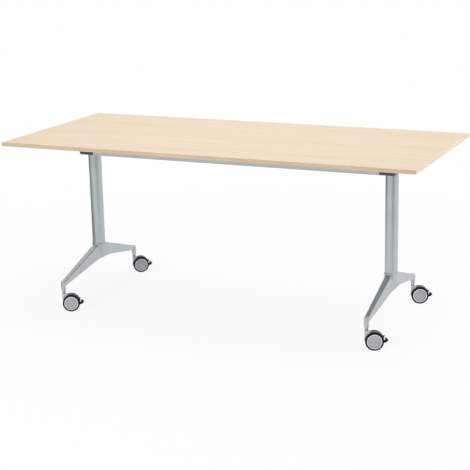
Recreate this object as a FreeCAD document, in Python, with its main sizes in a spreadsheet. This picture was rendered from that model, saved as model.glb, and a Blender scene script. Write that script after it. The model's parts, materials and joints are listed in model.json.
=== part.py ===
"""Mobile tilt-top table on two cast feet with four braked twin-wheel castors.

Millimetres, +Z up. The origin is on the floor under the middle of the top, +X runs along
the table's length and +Y towards its back edge.
"""
import FreeCAD
import Part
import Sketcher
import math
import os
import re

doc = FreeCAD.newDocument("mobile_table")

# Driving dimensions, in millimetres and degrees
SIZES = {
    # tabletop
    "top_length": 1800, "top_depth": 800, "table_height": 745, "top_thickness": 16,
    "band_thickness": 2, "band_radius": 1.5,
    # where the columns and castors stand
    "column_inset": 212.5, "castor_spread": 635,
    # flat-oval columns
    "column_width": 50, "column_depth": 62, "column_wall": 2.5, "column_clearance": 0.1,
    "plug_thickness": 12, "plug_clearance": 0.1,
    "column_bolt_diameter": 10, "column_bolt_reach": 10, "column_bolt_clearance": 0.3,
    "column_bolt_head_diameter": 16, "column_bolt_head_height": 8, "bolt_head_room": 1,
    # cast feet
    "hub_wall": 2.5, "hub_rim": 6, "hub_socket_depth": 42, "hub_lip": 1.5, "hub_draft": 8,
    "arm_root_height": 222, "arm_root_depth": 59.5, "arm_tip_height": 131, "arch_end_height": 110,
    "arch_bend": 90, "arm_root_width": 30, "arm_tip_width": 19.5,
    "arm_root_flare": 16, "arm_tip_flare": -3.2, "arm_edge_radius": 4,
    "socket_diameter": 21, "socket_tip_diameter": 14, "socket_bottom": 83, "socket_taper_height": 19,
    "nose_top": 132.5, "nose_height": 14, "stem_bore_depth": 38,
    # castors
    "stem_diameter": 8, "stem_fit": 0.02, "swivel_fit": 0.05, "stem_collar_diameter": 11.5,
    "swivel_gap": 0.3, "neck_diameter": 15, "neck_top": 79, "neck_bore_depth": 30,
    "castor_trail": 31, "wheel_diameter": 74, "wheel_width": 15, "housing_width": 12,
    "wheel_side_gap": 1, "housing_inset": 3, "housing_floor_gap": 12, "hood_rise": 1.5,
    "neck_foot_height": 64, "rim_diameter": 60, "ring_width": 6, "ring_depth": 3, "ring_radius": 1.5,
    "tyre_inset": 0.8, "tyre_radius": 3, "tyre_bevel": 0.9, "tyre_seat": 0.03,
    "cap_thickness": 1.6, "cap_crown": 0.8, "cap_flat_diameter": 36, "cap_fit": 0.1,
    "axle_diameter": 8, "axle_fit": 0.05, "axle_end_gap": 1,
    # brake pedals
    "pedal_width": 7.4, "pedal_slot_gap": 0.4, "pedal_pivot_reach": 27, "pedal_pivot_rise": 2,
    "pedal_pin_diameter": 6, "pedal_hub_radius": 5.5, "pedal_slot_depth": 3, "pedal_slot_height": 40,
    "pedal_reach": 26, "pedal_tread_width": 15,
    # castor headings, turned from +X towards the back edge
    "front_left_heading": 28, "front_right_heading": 22, "back_left_heading": 35, "back_right_heading": 22,
    # tilt heads
    "head_width": 66, "head_front": 75, "head_rear": 45, "head_drop": 86, "head_corner": 9,
    "head_edge_radius": 5, "head_socket_depth": 60, "rest_gap": 0.3,
    "lug_width": 40, "lug_radius": 15, "pivot_reach": 75, "pivot_drop": 25, "tilt_pin_diameter": 12,
    "pin_fit": 0.05, "pin_end": 3,
    # tilt brackets
    "bracket_front": 190, "bracket_rear": 150, "bracket_plate": 5, "ear_plate": 5, "ear_gap": 0.4,
    "ear_half_width": 17, "bracket_corner": 12,
    "screw_diameter": 5, "screw_head_diameter": 10, "screw_head_height": 3, "screw_bite": 11,
    "screw_inset": 18, "screw_fit": 0.1,
    # cross beam
    "beam_depth": 32, "beam_height": 32, "beam_wall": 2, "beam_setback": 5, "flange_plate": 5,
    "flange_depth": 56, "beam_screw_diameter": 6, "beam_screw_length": 11, "beam_screw_head_diameter": 10,
    "beam_screw_head_height": 5, "beam_screw_pitch": 16, "beam_screw_inset": 9,
    # lock shaft, hooks, catches and lever
    "shaft_diameter": 12, "shaft_reach": 62, "shaft_drop": 35, "shaft_bearing_depth": 14, "shaft_end_gap": 1,
    "hook_width": 8, "hook_inset": 20, "hook_ring": 5, "hook_height": 22, "hook_nose": 5.5, "hook_tip": 8,
    "hook_arm": 7, "hook_fit": 0.02, "lock_angle": 15,
    "catch_width": 20, "catch_sheet": 3, "catch_gap": 1.5, "catch_overlap": 3, "catch_lip": 12,
    "catch_flange": 30, "lever_width": 34, "lever_length": 118, "lever_plate": 6, "lever_tip_radius": 5,
    "lever_droop": 4, "lever_place": 430,
}

dims = doc.addObject("Spreadsheet::Sheet", "Dims")
for row, (alias, number) in enumerate(SIZES.items(), start=1):
    dims.set("A%d" % row, alias)
    dims.set("B%d" % row, str(number))
    dims.setAlias("B%d" % row, alias)
doc.recompute()

# Heights and places that several pieces share
UNDERSIDE = "(table_height - top_thickness)"
BRACKET_BOTTOM = "(%s - bracket_plate)" % UNDERSIDE
HEAD_TOP = "(%s - rest_gap)" % BRACKET_BOTTOM
HEAD_BOTTOM = "(%s - head_drop)" % UNDERSIDE
PIVOT_HEIGHT = "(%s - pivot_drop)" % UNDERSIDE
SHAFT_HEIGHT = "(%s - shaft_drop)" % UNDERSIDE
COLUMN_PLACE = "(top_length / 2 - column_inset)"
INNER_FACE = "(%s - head_width / 2)" % COLUMN_PLACE
HUB_TOP = "(arm_root_height + hub_rim)"
COLUMN_FOOT = "(%s - hub_socket_depth)" % HUB_TOP
COLUMN_HEAD = "(%s + head_socket_depth)" % HEAD_BOTTOM
ARCH_HEIGHT = "(arm_root_height - arm_root_depth)"
HUB_BOTTOM = "(%s - hub_lip)" % ARCH_HEIGHT
STEM_TOP = "(socket_bottom + stem_bore_depth - swivel_gap)"
STEM_FOOT = "(neck_top - neck_bore_depth + swivel_gap)"
WHEEL_RADIUS = "(wheel_diameter / 2)"
WHEEL_FACE = "(housing_width / 2 + wheel_side_gap)"
HOUSING_RADIUS = "(wheel_diameter / 2 - housing_inset)"
HOOD_RADIUS = "(wheel_diameter / 2 + hood_rise)"
BEAM_FRONT = "(head_front - beam_setback)"
HOOK_PLACE = "(%s - hook_inset)" % INNER_FACE
CATCH_START = "(hook_tip - catch_overlap)"
SIDES = {"left": -1, "right": 1}
CASTORS = {
    "front_left": (-1, -1), "front_right": (1, -1), "back_left": (-1, 1), "back_right": (1, 1),
}


def tied(text):
    """Writes the sheet's name before each size in an expression."""
    return re.sub(r"[a-z_]+", lambda word: "Dims." + word[0] if word[0] in SIZES else word[0], str(text))


def number(text):
    """Value of an expression in the sheet's sizes."""
    return float(doc.Dims.evalExpression(tied(text)))


def signed(sign, text):
    return text if sign > 0 else "-(%s)" % text


def new_body(label):
    body = doc.addObject("PartDesign::Body", label)
    body.Label = label
    return body


def place(item, x="0", y="0", z="0", axis=(0, 0, 1), angle="0"):
    """Ties a piece's Placement to the sheet."""
    item.Placement = FreeCAD.Placement(
        FreeCAD.Vector(number(x), number(y), number(z)),
        FreeCAD.Rotation(FreeCAD.Vector(*axis), number(angle)),
    )
    for letter, text in zip("xyz", (x, y, z)):
        item.setExpression("Placement.Base." + letter, tied(text))
    if angle != "0":
        item.setExpression("Placement.Rotation.Angle", tied(angle))
    return item


def sketch_on(body, name, role, lift="0", shift="0"):
    """Empty sketch on one of the body's own origin planes, lifted off it and shifted along its own x."""
    sketch = body.newObject("Sketcher::SketchObject", name)
    plane = next(item for item in body.Origin.OriginFeatures if item.Role == role)
    sketch.AttachmentSupport = [(plane, "")]
    sketch.MapMode = "FlatFace"
    sketch.setExpression("AttachmentOffset.Base.x", tied(shift))
    sketch.setExpression("AttachmentOffset.Base.z", tied(lift))
    return sketch


def pin_point(sketch, curve, end, x, y):
    """Ties a point of a curve to two expressions measured from the sketch's origin."""
    for kind, text in (("DistanceX", x), ("DistanceY", y)):
        index = sketch.addConstraint(Sketcher.Constraint(kind, -1, 1, curve, end, number(text)))
        sketch.setExpression("Constraints[%d]" % index, tied(text))


def arc_through(start, end, centre):
    """Arc that runs anticlockwise from start to end about centre."""
    spoke = start - centre
    angles = [math.atan2(point.y - centre.y, point.x - centre.x) for point in (start, end)]
    circle = Part.Circle(centre, FreeCAD.Vector(0, 0, 1), spoke.Length)
    return Part.ArcOfCircle(circle, angles[0], angles[1])


def outline(sketch, corners, arcs=None):
    """Closed loop through corners given as expressions.

    arcs maps the place of a corner in the list to the arc that leaves it: the side its centre
    lies on, and either its radius or one coordinate of its centre.
    """
    arcs = arcs or {}
    points = [FreeCAD.Vector(number(x), number(y), 0) for x, y in corners]
    first = sketch.GeometryCount
    ends = []
    for place_in_list, start in enumerate(points):
        end = points[(place_in_list + 1) % len(points)]
        if place_in_list not in arcs:
            sketch.addGeometry(Part.LineSegment(start, end), False)
            ends.append((1, 2))
            continue
        side, kind, text = arcs[place_in_list]
        middle = (start + end) / 2
        chord = end - start
        normal = FreeCAD.Vector(-chord.y, chord.x, 0).normalize()
        if kind == "radius":
            height = math.sqrt(max(number(text) ** 2 - chord.Length ** 2 / 4, 0))
            centre = middle + normal * (height if side == "left" else -height)
        elif kind == "centre_x":
            centre = FreeCAD.Vector(number(text), middle.y, 0)
        else:
            centre = FreeCAD.Vector(middle.x, number(text), 0)
        if side == "left":
            sketch.addGeometry(arc_through(start, end, centre), False)
            ends.append((1, 2))
        else:
            sketch.addGeometry(arc_through(end, start, centre), False)
            ends.append((2, 1))
    total = len(points)
    for step in range(total):
        following = (step + 1) % total
        sketch.addConstraint(Sketcher.Constraint(
            "Coincident", first + step, ends[step][1], first + following, ends[following][0]))
    for step, (x, y) in enumerate(corners):
        pin_point(sketch, first + step, ends[step][0], x, y)
    for step, (side, kind, text) in arcs.items():
        if kind == "radius":
            constraint = Sketcher.Constraint("Radius", first + step, number(text))
        else:
            along = {"centre_x": "DistanceX", "centre_y": "DistanceY"}[kind]
            constraint = Sketcher.Constraint(along, -1, 1, first + step, 3, number(text))
        sketch.setExpression("Constraints[%d]" % sketch.addConstraint(constraint), tied(text))
    return sketch


def rectangle(sketch, x0, x1, y0, y1):
    return outline(sketch, [(x0, y0), (x1, y0), (x1, y1), (x0, y1)])


def flat_oval(sketch, width, depth):
    """Oval with straight flanks: width along x, depth along y, with half-round ends."""
    half = "(%s) / 2" % width
    straight = "((%s) - (%s)) / 2" % (depth, width)
    corners = [(half, "-" + straight), (half, straight), ("-" + half, straight), ("-" + half, "-" + straight)]
    ends = {1: ("left", "centre_y", straight), 3: ("left", "centre_y", "-" + straight)}
    return outline(sketch, corners, ends)


def circle(sketch, x, y, radius):
    centre = FreeCAD.Vector(number(x), number(y), 0)
    index = sketch.addGeometry(Part.Circle(centre, FreeCAD.Vector(0, 0, 1), number(radius)), False)
    pin_point(sketch, index, 3, x, y)
    constraint = sketch.addConstraint(Sketcher.Constraint("Radius", index, number(radius)))
    sketch.setExpression("Constraints[%d]" % constraint, tied(radius))
    return sketch


def feature(body, kind, sketch, length=None, symmetric=False, backwards=False):
    """Pad or pocket of a sketch; with no length it goes through everything."""
    made = body.newObject("PartDesign::" + kind, sketch.Name + kind)
    made.Profile = sketch
    made.SideType = "Symmetric" if symmetric else "One side"
    made.Reversed = backwards
    if length is None:
        made.Type = "ThroughAll"
    else:
        made.setExpression("Length", tied(length))
    sketch.Visibility = False
    return made


def pad(body, sketch, length, **how):
    return feature(body, "Pad", sketch, length, **how)


def pocket(body, sketch, length=None, **how):
    return feature(body, "Pocket", sketch, length, **how)


def revolve(body, sketch):
    """Full turn of a sketch about its own vertical axis."""
    made = body.newObject("PartDesign::Revolution", sketch.Name + "Turn")
    made.Profile = sketch
    made.ReferenceAxis = (sketch, ["V_Axis"])
    made.Angle = 360
    return made


def ease_edges(body, name, kind, size, chosen):
    """Fillet or chamfer on the edges of the body so far that chosen() accepts."""
    doc.recompute()
    base = body.Tip
    names = ["Edge%d" % index for index, edge in enumerate(base.Shape.Edges, start=1) if chosen(edge)]
    made = body.newObject("PartDesign::" + kind, name)
    made.Base = (base, names)
    made.setExpression({"Fillet": "Radius", "Chamfer": "Size"}[kind], tied(size))
    return made


def group(label, members):
    made = doc.addObject("Part::Compound", label)
    made.Label = label
    made.Links = members
    return made


def rod(name, radius, height, lift="0"):
    """Upright cylinder with its foot at the given height."""
    made = doc.addObject("Part::Cylinder", name)
    made.setExpression("Radius", tied(radius))
    made.setExpression("Height", tied(height))
    return place(made, z=lift)


def screw(name, shank, length, head, head_height):
    """Headed fastener: the head stands on z = 0 and the shank hangs below it."""
    made = doc.addObject("Part::Fuse", name)
    made.Base = rod(name + "_shank", "%s / 2" % shank, length, "-(%s)" % length)
    made.Tool = rod(name + "_head", "%s / 2" % head, head_height)
    return made


def is_upright(edge):
    box = edge.BoundBox
    return box.ZLength > 1 and box.XLength < 0.01 and box.YLength < 0.01


# Tabletop: board and edge bands
def make_board():
    body = new_body("tabletop_board")
    half_length = "(top_length / 2 - band_thickness)"
    half_depth = "(top_depth / 2 - band_thickness)"
    plan = rectangle(sketch_on(body, "BoardPlan", "XY_Plane"), "-" + half_length, half_length,
                     "-" + half_depth, half_depth)
    pad(body, plan, "top_thickness")
    holes, hole = sketch_on(body, "BoardScrewHoles", "XY_Plane"), "screw_diameter / 2 + stem_fit"
    for sign in SIDES.values():
        for x, y in bracket_screw_places():
            circle(holes, "%s + %s" % (signed(sign, COLUMN_PLACE), x), y, hole)
        circle(holes, signed(sign, HOOK_PLACE), catch_screw_place(), hole)
    pocket(body, holes, "screw_bite + rest_gap", backwards=True)
    return place(body, z=UNDERSIDE)


def make_band(label, role, sign, size, run):
    """Strip with rounded outer edges along one side of the board."""
    body = new_body(label)
    outer = signed(sign, "%s / 2" % size)
    inner = signed(sign, "%s / 2 - band_thickness" % size)
    eased = signed(sign, "%s / 2 - band_radius" % size)
    bend = "left" if sign > 0 else "right"
    section = outline(
        sketch_on(body, label + "_section", role),
        [(inner, "0"), (eased, "0"), (outer, "band_radius"), (outer, "top_thickness - band_radius"),
         (eased, "top_thickness"), (inner, "top_thickness")],
        {1: (bend, "radius", "band_radius"), 3: (bend, "radius", "band_radius")},
    )
    pad(body, section, run, symmetric=True)
    return place(body, z=UNDERSIDE)


# Columns with the plugs and bolts that clamp them
def make_column(label, sign):
    body = new_body(label)
    section = sketch_on(body, label + "_section", "XY_Plane")
    flat_oval(section, "column_width", "column_depth")
    flat_oval(section, "column_width - 2 * column_wall", "column_depth - 2 * column_wall")
    pad(body, section, "%s - %s" % (COLUMN_HEAD, COLUMN_FOOT))
    return place(body, x=signed(sign, COLUMN_PLACE), z=COLUMN_FOOT)


def make_column_plugs():
    plugs = []
    inside = "column_wall + plug_clearance"
    for side, sign in SIDES.items():
        for end, height in (("foot", COLUMN_FOOT), ("head", "%s - plug_thickness" % COLUMN_HEAD)):
            name = "%s_%s_plug" % (side, end)
            body = new_body(name)
            section = sketch_on(body, name + "_section", "XY_Plane")
            flat_oval(section, "column_width - 2 * (%s)" % inside, "column_depth - 2 * (%s)" % inside)
            circle(section, "0", "0", "column_bolt_diameter / 2 + stem_fit")
            pad(body, section, "plug_thickness")
            plugs.append(place(body, x=signed(sign, COLUMN_PLACE), z=height))
    return group("column_plugs", plugs)


def make_column_bolts():
    bolts = []
    foot_seat = "(%s + column_bolt_head_height + bolt_head_room)" % HUB_BOTTOM
    head_seat = "(%s - column_bolt_head_height - bolt_head_room)" % HEAD_TOP
    foot_reach = "(%s - %s + column_bolt_reach)" % (COLUMN_FOOT, foot_seat)
    head_reach = "(%s - %s + column_bolt_reach)" % (head_seat, COLUMN_HEAD)
    for side, sign in SIDES.items():
        ends = (("foot", foot_seat, foot_reach, "180"), ("head", head_seat, head_reach, "0"))
        for end, seat, reach, angle in ends:
            bolt = screw("%s_%s_bolt" % (side, end), "column_bolt_diameter", reach,
                         "column_bolt_head_diameter", "column_bolt_head_height")
            bolts.append(place(bolt, x=signed(sign, COLUMN_PLACE), z=seat,
                               axis=(1, 0, 0), angle=angle))
    return group("column_bolts", bolts)


# Cast foot: two tapering arms over an arch, a hub for the column and a castor socket at each end
def arm_section(body, name, away, half_width, flare, top):
    """Upright section of an arm at a distance along Y: rounded top edges, flanks that spread downwards."""
    bottom, radius = "arch_end_height - hub_lip", "arm_edge_radius"
    flank, shoulder = "%s - %s" % (half_width, radius), "%s - %s" % (top, radius)
    foot = "(%s + %s)" % (half_width, flare)
    return outline(
        sketch_on(body, name, "XZ_Plane", lift="-(%s)" % away),
        [("-" + foot, bottom), (foot, bottom), (half_width, shoulder), (flank, top),
         ("-(%s)" % flank, top), ("-" + half_width, shoulder)],
        {2: ("left", "radius", radius), 4: ("left", "radius", radius)},
    )


def make_foot(label, sign):
    body = new_body(label)
    reach = "(castor_spread / 2)"
    shoulder = "(column_depth / 2 + hub_wall)"
    slope = "((arm_root_height - arm_tip_height) / (%s - %s))" % (reach, shoulder)
    fall = "((%s - arch_end_height) / (%s - arch_bend / 2))" % (ARCH_HEIGHT, reach)
    sag = "(arch_bend / 2 * %s)" % fall
    arch_radius = "(arch_bend ^ 2 + %s ^ 2) / (2 * %s)" % (sag, sag)

    # the hub is straight round the column and narrows below it
    halves = (
        ("collar", "hub_socket_depth", "0"),
        ("root", "%s - %s" % (COLUMN_FOOT, HUB_BOTTOM), "-hub_draft"),
    )
    for half, height, draft in halves:
        hub = flat_oval(sketch_on(body, "%s_hub_%s" % (label, half), "XY_Plane", lift=COLUMN_FOOT),
                        "column_width + 2 * hub_wall", "column_depth + 2 * hub_wall")
        block = pad(body, hub, height, backwards=half == "root")
        block.setExpression("TaperAngle", tied(draft))
    hub_top = number(HUB_TOP)
    ease_edges(body, label + "_hub_lip", "Chamfer", "hub_lip",
               lambda edge: abs(edge.BoundBox.ZMin - hub_top) < 0.01)

    # each arm starts inside the hub and narrows towards its castor socket
    root = "hub_wall"
    root_top = "(arm_root_height + (%s - %s) * %s)" % (shoulder, root, slope)
    for end, way in (("front", -1), ("back", 1)):
        name = "%s_%s_arm" % (label, end)
        arm = body.newObject("PartDesign::AdditiveLoft", name)
        arm.Profile = arm_section(body, name + "_root", signed(way, root), "arm_root_width / 2",
                                  "arm_root_flare", root_top)
        tip = arm_section(body, name + "_tip", signed(way, reach), "arm_tip_width / 2",
                          "arm_tip_flare", "arm_tip_height")
        arm.Sections = [tip]
        arm.Ruled = True

    # the arch below the arms: straight towards the sockets and bent under the hub
    bend_height = "%s - %s" % (ARCH_HEIGHT, sag)
    arch = outline(
        sketch_on(body, label + "_arch", "YZ_Plane"),
        [("-" + reach, "socket_bottom"), (reach, "socket_bottom"), (reach, "arch_end_height"),
         ("arch_bend", bend_height), ("-arch_bend", bend_height), ("-" + reach, "arch_end_height")],
        {3: ("left", "radius", arch_radius)},
    )
    pocket(body, arch, symmetric=True)

    # bullet-shaped castor sockets
    for end, shift in (("front", "-(%s)" % reach), ("back", reach)):
        wide, narrow = "socket_diameter / 2", "socket_tip_diameter / 2"
        bullet = outline(
            sketch_on(body, "%s_%s_socket" % (label, end), "YZ_Plane", shift=shift),
            [("0", "socket_bottom"), (narrow, "socket_bottom"), (wide, "socket_bottom + socket_taper_height"),
             (wide, "nose_top - nose_height"), ("0.95 * " + wide, "nose_top - 0.45 * nose_height"),
             ("0.78 * " + wide, "nose_top - 0.16 * nose_height"), ("0.5 * " + wide, "nose_top"),
             ("0", "nose_top")],
        )
        revolve(body, bullet)

    bores = sketch_on(body, label + "_stem_bores", "XY_Plane", lift="socket_bottom")
    for shift in ("-(%s)" % reach, reach):
        circle(bores, "0", shift, "stem_diameter / 2 + stem_fit")
    pocket(body, bores, "stem_bore_depth", backwards=True)

    seat = flat_oval(sketch_on(body, label + "_column_seat", "XY_Plane", lift=HUB_TOP),
                     "column_width + 2 * column_clearance", "column_depth + 2 * column_clearance")
    pocket(body, seat, "2 * hub_socket_depth", symmetric=True)
    bolt_hole = circle(sketch_on(body, label + "_bolt_hole", "XY_Plane"), "0", "0",
                       "column_bolt_diameter / 2 + column_bolt_clearance")
    pocket(body, bolt_hole, symmetric=True)
    recess = circle(sketch_on(body, label + "_bolt_recess", "XY_Plane", lift=HUB_BOTTOM), "0", "0",
                    "column_bolt_head_diameter / 2 + column_bolt_clearance")
    pocket(body, recess, "column_bolt_head_height + bolt_head_room", backwards=True)
    return place(body, x=signed(sign, COLUMN_PLACE))


# Tilt head: block on top of the column with a lug for the tilt pin
def make_head(label, sign):
    body = new_body(label)
    bottom, top, corner = HEAD_BOTTOM, HEAD_TOP, "head_corner"
    profile = outline(
        sketch_on(body, label + "_block", "YZ_Plane"),
        [("-head_front + " + corner, bottom), ("head_rear - " + corner, bottom),
         ("head_rear", "%s + %s" % (bottom, corner)), ("head_rear", top), ("-head_front", top),
         ("-head_front", "%s + %s" % (bottom, corner))],
        {1: ("left", "radius", corner), 5: ("left", "radius", corner)},
    )
    pad(body, profile, "head_width", symmetric=True)
    ease_edges(body, label + "_rounding", "Fillet", "head_edge_radius", is_upright)

    lug_bottom, lug_top = "%s - lug_radius" % PIVOT_HEIGHT, "%s + lug_radius" % PIVOT_HEIGHT
    lug = outline(
        sketch_on(body, label + "_lug", "YZ_Plane"),
        [("column_depth / 2", lug_bottom), ("pivot_reach", lug_bottom), ("pivot_reach", lug_top),
         ("column_depth / 2", lug_top)],
        {1: ("left", "centre_x", "pivot_reach")},
    )
    pad(body, lug, "lug_width", symmetric=True)

    seat = flat_oval(sketch_on(body, label + "_column_seat", "XY_Plane", lift=bottom),
                     "column_width + 2 * column_clearance", "column_depth + 2 * column_clearance")
    pocket(body, seat, "head_socket_depth", backwards=True)
    bolt_hole = circle(sketch_on(body, label + "_bolt_hole", "XY_Plane"), "0", "0",
                       "column_bolt_diameter / 2 + column_bolt_clearance")
    pocket(body, bolt_hole, symmetric=True)
    recess = circle(sketch_on(body, label + "_bolt_recess", "XY_Plane", lift=top), "0", "0",
                    "column_bolt_head_diameter / 2 + column_bolt_clearance")
    pocket(body, recess, "column_bolt_head_height + bolt_head_room")

    pin_hole = circle(sketch_on(body, label + "_pin_hole", "YZ_Plane"), "pivot_reach", PIVOT_HEIGHT,
                      "tilt_pin_diameter / 2 + pin_fit")
    pocket(body, pin_hole, symmetric=True)

    # holes in the face towards the middle of the table
    inner = signed(-sign, "head_width / 2")
    bearing = circle(sketch_on(body, label + "_bearing", "YZ_Plane", lift=inner),
                     "-shaft_reach", SHAFT_HEIGHT, "shaft_diameter / 2 + pin_fit")
    pocket(body, bearing, "shaft_bearing_depth", backwards=sign > 0)
    holes = sketch_on(body, label + "_beam_holes", "YZ_Plane", lift=inner)
    for y, z in beam_screw_places():
        circle(holes, y, z, "beam_screw_diameter / 2 + stem_fit")
    pocket(body, holes, "beam_screw_length", backwards=sign > 0)
    return place(body, x=signed(sign, COLUMN_PLACE))


# Cross beam: square tube with a welded flange at each end
def beam_screw_places():
    y = "(-%s + flange_depth - beam_screw_inset)" % BEAM_FRONT
    middle = "(%s + beam_height / 2)" % HEAD_BOTTOM
    return [(y, "%s - beam_screw_pitch / 2" % middle), (y, "%s + beam_screw_pitch / 2" % middle)]


def make_beam():
    body = new_body("cross_beam")
    front, back = "-%s" % BEAM_FRONT, "-%s + beam_depth" % BEAM_FRONT
    bottom, top = HEAD_BOTTOM, "%s + beam_height" % HEAD_BOTTOM
    wall = "beam_wall"
    section = sketch_on(body, "BeamSection", "YZ_Plane")
    rectangle(section, front, back, bottom, top)
    rectangle(section, "%s + %s" % (front, wall), "%s - %s" % (back, wall),
              "%s + %s" % (bottom, wall), "%s - %s" % (top, wall))
    pad(body, section, "2 * (%s - flange_plate)" % INNER_FACE, symmetric=True)
    for side, sign in SIDES.items():
        flange = sketch_on(body, side + "_flange", "YZ_Plane", lift=signed(sign, INNER_FACE))
        rectangle(flange, front, "%s + flange_depth" % front, bottom, top)
        for y, z in beam_screw_places():
            circle(flange, y, z, "beam_screw_diameter / 2 + screw_fit")
        pad(body, flange, "flange_plate", backwards=sign > 0)
    return place(body)


def make_beam_screws():
    screws = []
    for side, sign in SIDES.items():
        for index, (y, z) in enumerate(beam_screw_places(), start=1):
            item = screw("%s_beam_screw_%d" % (side, index), "beam_screw_diameter",
                         "flange_plate + beam_screw_length",
                         "beam_screw_head_diameter", "beam_screw_head_height")
            angle = "90" if sign < 0 else "-90"
            screws.append(place(item, x=signed(sign, "%s - flange_plate" % INNER_FACE), y=y, z=z,
                                axis=(0, 1, 0), angle=angle))
    return group("beam_screws", screws)


# Tilt bracket: plate under the board with two ears on the tilt pin
def bracket_screw_places():
    x = "head_width / 2 - screw_inset / 2"
    front, rear = "-bracket_front + screw_inset", "bracket_rear - screw_inset"
    return [("-(%s)" % x, front), (x, front), ("-(%s)" % x, rear), (x, rear)]


def make_bracket(label, sign):
    body = new_body(label)
    plate = sketch_on(body, label + "_plate", "XY_Plane", lift=BRACKET_BOTTOM)
    rectangle(plate, "-head_width / 2", "head_width / 2", "-bracket_front", "bracket_rear")
    for x, y in bracket_screw_places():
        circle(plate, x, y, "screw_diameter / 2 + screw_fit")
    pad(body, plate, "bracket_plate")
    flank = number("head_width / 2")
    ease_edges(body, label + "_corners", "Fillet", "bracket_corner",
               lambda edge: is_upright(edge) and abs(edge.CenterOfMass.x) > flank - 0.01)
    front, rear = "pivot_reach - ear_half_width", "pivot_reach + ear_half_width"
    for face, way in (("left", -1), ("right", 1)):
        lift = signed(way, "lug_width / 2 + ear_gap")
        ear = outline(
            sketch_on(body, "%s_%s_ear" % (label, face), "YZ_Plane", lift=lift),
            [(rear, BRACKET_BOTTOM), (front, BRACKET_BOTTOM), (front, PIVOT_HEIGHT), (rear, PIVOT_HEIGHT)],
            {2: ("left", "centre_y", PIVOT_HEIGHT)},
        )
        pad(body, ear, "ear_plate", backwards=way < 0)
    hole = circle(sketch_on(body, label + "_pin_hole", "YZ_Plane"), "pivot_reach", PIVOT_HEIGHT,
                  "tilt_pin_diameter / 2 + stem_fit")
    pocket(body, hole, symmetric=True)
    return place(body, x=signed(sign, COLUMN_PLACE))


def make_tilt_pins():
    length = "lug_width + 2 * (ear_gap + ear_plate + pin_end)"
    pins = []
    for side, sign in SIDES.items():
        pin = rod(side + "_tilt_pin", "tilt_pin_diameter / 2", length)
        x = "%s - (%s) / 2" % (signed(sign, COLUMN_PLACE), length)
        pins.append(place(pin, x=x, y="pivot_reach", z=PIVOT_HEIGHT, axis=(0, 1, 0), angle="90"))
    return group("tilt_pins", pins)


def catch_screw_place():
    return "(-shaft_reach + %s + catch_lip + catch_flange / 2)" % CATCH_START


def make_bracket_screws():
    screws = []
    length = "%s + screw_bite"
    for side, sign in SIDES.items():
        column = signed(sign, COLUMN_PLACE)
        places = [("%s + %s" % (column, x), y, BRACKET_BOTTOM, length % "bracket_plate")
                  for x, y in bracket_screw_places()]
        places.append((signed(sign, HOOK_PLACE), catch_screw_place(), "%s - catch_sheet" % UNDERSIDE,
                       length % "catch_sheet"))
        for index, (x, y, z, reach) in enumerate(places, start=1):
            item = screw("%s_bracket_screw_%d" % (side, index), "screw_diameter", reach,
                         "screw_head_diameter", "screw_head_height")
            screws.append(place(item, x=x, y=y, z=z, axis=(1, 0, 0), angle="180"))
    return group("bracket_screws", screws)


# Lock: a shaft along the beam turns two hooks over the catches under the board
def make_lock_shaft():
    end = "(%s + shaft_bearing_depth - shaft_end_gap)" % INNER_FACE
    shaft = rod("lock_shaft", "shaft_diameter / 2", "2 * %s" % end)
    return place(shaft, x="-" + end, y="-shaft_reach", z=SHAFT_HEIGHT, axis=(0, 1, 0), angle="90")


def make_lock_hooks():
    hooks = []
    for side, sign in SIDES.items():
        name = side + "_lock_hook"
        body = new_body(name)
        ring = sketch_on(body, name + "_ring", "YZ_Plane")
        circle(ring, "0", "0", "shaft_diameter / 2 + hook_ring")
        pad(body, ring, "hook_width", symmetric=True)
        outer = "-(shaft_diameter / 2 + hook_ring / 2)"
        inner, nose = "%s + hook_arm" % outer, "hook_height - hook_nose"
        profile = outline(
            sketch_on(body, name + "_claw", "YZ_Plane"),
            [(outer, "0"), (inner, "0"), (inner, nose), ("hook_tip", nose),
             ("hook_tip - hook_nose / 2", "hook_height"), (outer, "hook_height")],
        )
        pad(body, profile, "hook_width", symmetric=True)
        bore = circle(sketch_on(body, name + "_bore", "YZ_Plane"), "0", "0", "shaft_diameter / 2 + hook_fit")
        pocket(body, bore, symmetric=True)
        hooks.append(place(body, x=signed(sign, HOOK_PLACE), y="-shaft_reach", z=SHAFT_HEIGHT,
                           axis=(1, 0, 0), angle="lock_angle"))
    return group("lock_hooks", hooks)


def make_lock_catches():
    catches = []
    lip_top = "(hook_height - hook_nose - catch_gap)"
    lip_bottom = "%s - catch_sheet" % lip_top
    front, leg = CATCH_START, "(%s + catch_lip)" % CATCH_START
    inside, end = "%s - catch_sheet" % leg, "%s + catch_flange" % leg
    top, under = "shaft_drop", "shaft_drop - catch_sheet"
    for side, sign in SIDES.items():
        name = side + "_lock_catch"
        body = new_body(name)
        profile = outline(
            sketch_on(body, name + "_profile", "YZ_Plane"),
            [(front, lip_bottom), (leg, lip_bottom), (leg, under), (end, under), (end, top), (inside, top),
             (inside, lip_top), (front, lip_top)],
        )
        pad(body, profile, "catch_width", symmetric=True)
        hole = circle(sketch_on(body, name + "_hole", "XY_Plane"), "0",
                      "%s + shaft_reach" % catch_screw_place(), "screw_diameter / 2 + screw_fit")
        pocket(body, hole, symmetric=True)
        catches.append(place(body, x=signed(sign, HOOK_PLACE), y="-shaft_reach", z=SHAFT_HEIGHT))
    return group("lock_catches", catches)


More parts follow.
